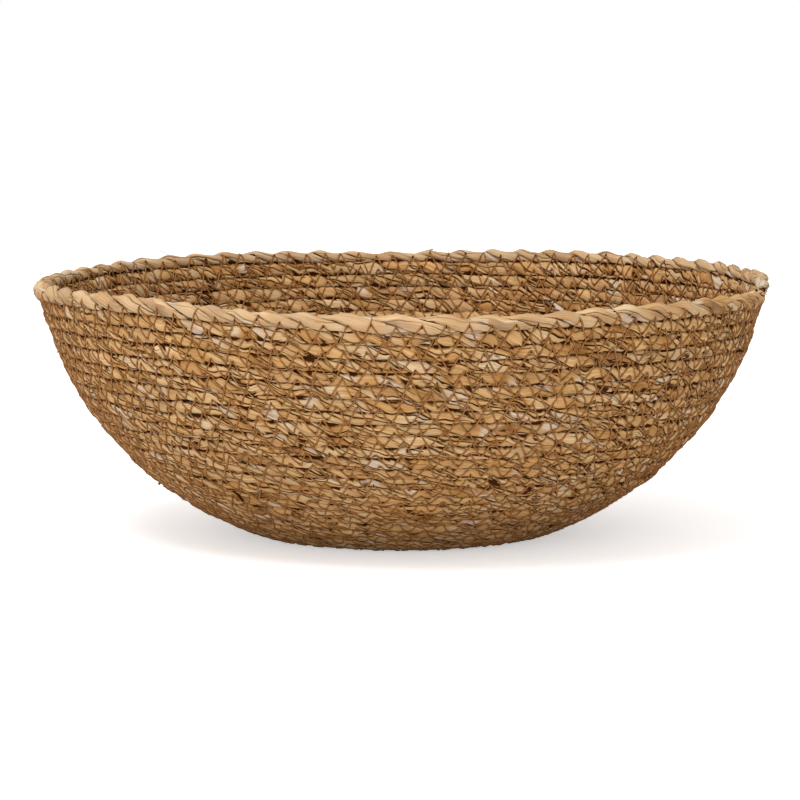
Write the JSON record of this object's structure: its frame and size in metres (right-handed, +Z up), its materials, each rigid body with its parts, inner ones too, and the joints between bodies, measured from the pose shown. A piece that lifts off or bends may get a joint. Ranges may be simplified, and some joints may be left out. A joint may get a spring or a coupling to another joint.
{
  "type": "coiled belly basket",
  "caption": "Wide round-bellied open basket, coiled from twisted leaf rope and sewn row to row with a zigzag seam, on a small flat base.",
  "frame": {"origin": "under the middle of the floor, on the surface that the basket stands on", "axes": "+Z up out of the open mouth; +X to the right in the picture, where the loose end of the rope lies on the rim; the picture looks along +Y"},
  "size_m": [0.3975, 0.3976, 0.1417],
  "materials": {
    "leaf_rope": "dry twisted leaf, matt with a faint sheen, tan to cream",
    "seam_thread": "brown two-ply sewing cord, slightly glossy"
  },
  "bodies": {
    "root": {"base_coil": "leaf_rope", "heel_coil": "leaf_rope", "lower_wall_coil": "leaf_rope", "lower_belly_coil": "leaf_rope", "upper_belly_coil": "leaf_rope", "shoulder_coil": "leaf_rope", "rim_coil": "leaf_rope", "outer_rim_seam": "seam_thread", "inner_rim_seam": "seam_thread"}
  },
  "joints": []
}
